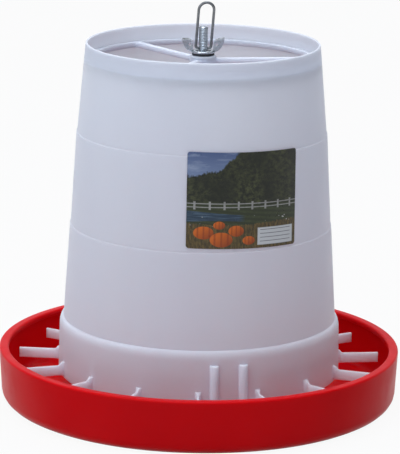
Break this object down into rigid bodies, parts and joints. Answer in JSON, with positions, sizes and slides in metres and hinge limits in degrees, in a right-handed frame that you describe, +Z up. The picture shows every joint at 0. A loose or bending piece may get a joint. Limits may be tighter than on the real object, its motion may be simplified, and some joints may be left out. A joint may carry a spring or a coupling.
{
  "type": "hanging poultry feeder",
  "caption": "Hanging poultry feeder: tapered feed hopper with a finned skirt over a round lipped pan, hung on a centre rod with a wing nut and wire bail.",
  "frame": {"origin": "middle of the pan's underside, on the surface that the feeder stands on", "axes": "+Z up along the centre rod, -Y to the front that the picture shows, +X to the viewer's right"},
  "size_m": [0.3558, 0.356, 0.357],
  "materials": {
    "red_plastic": "satin red polypropylene",
    "white_plastic": "satin, slightly milky white polyethylene",
    "zinc_steel": "bright zinc plate",
    "black_rubber": "matt black rubber",
    "printed_label": "printed self-adhesive film"
  },
  "bodies": {
    "feed_pan": {"feed_pan": "red_plastic", "centre_rod": "zinc_steel", "cone_washer": "zinc_steel", "cone_nut": "zinc_steel", "pan_washer": "zinc_steel", "pan_nut": "zinc_steel"},
    "hopper": {"hopper": "white_plastic", "hanger_spider": "white_plastic", "front_label": "printed_label", "rubber_washer": "black_rubber", "hub_washer": "zinc_steel"},
    "wing_nut": {"wing_nut": "zinc_steel"},
    "hub_nut": {"hub_nut": "zinc_steel"},
    "hanging_bail": {"hanging_bail": "zinc_steel"}
  },
  "joints": [
    {"name": "hopper_height", "type": "slide", "parent": "feed_pan", "child": "hopper", "axis": [0, 0, 1], "range_m": [-0.0127, 0]},
    {"name": "wing_nut_turn", "type": "hinge", "parent": "hopper", "child": "wing_nut", "pos_m": [0, 0, 0.3119], "axis": [0, 0, 1], "range_deg": [-3240, 0]},
    {"name": "hub_nut_turn", "type": "hinge", "parent": "hopper", "child": "hub_nut", "pos_m": [0, 0, 0.2889], "axis": [0, 0, 1], "range_deg": [-3240, 0]},
    {"name": "bail_swing", "type": "hinge", "parent": "feed_pan", "child": "hanging_bail", "pos_m": [0, 0, 0.3159], "axis": [1, 0, 0], "range_deg": [-90, 90]}
  ],
  "couplings": [
    {"joint": "wing_nut_turn", "follows": "hopper_height", "rad_per_m": 4452.6},
    {"joint": "hub_nut_turn", "follows": "hopper_height", "rad_per_m": 4452.6}
  ]
}
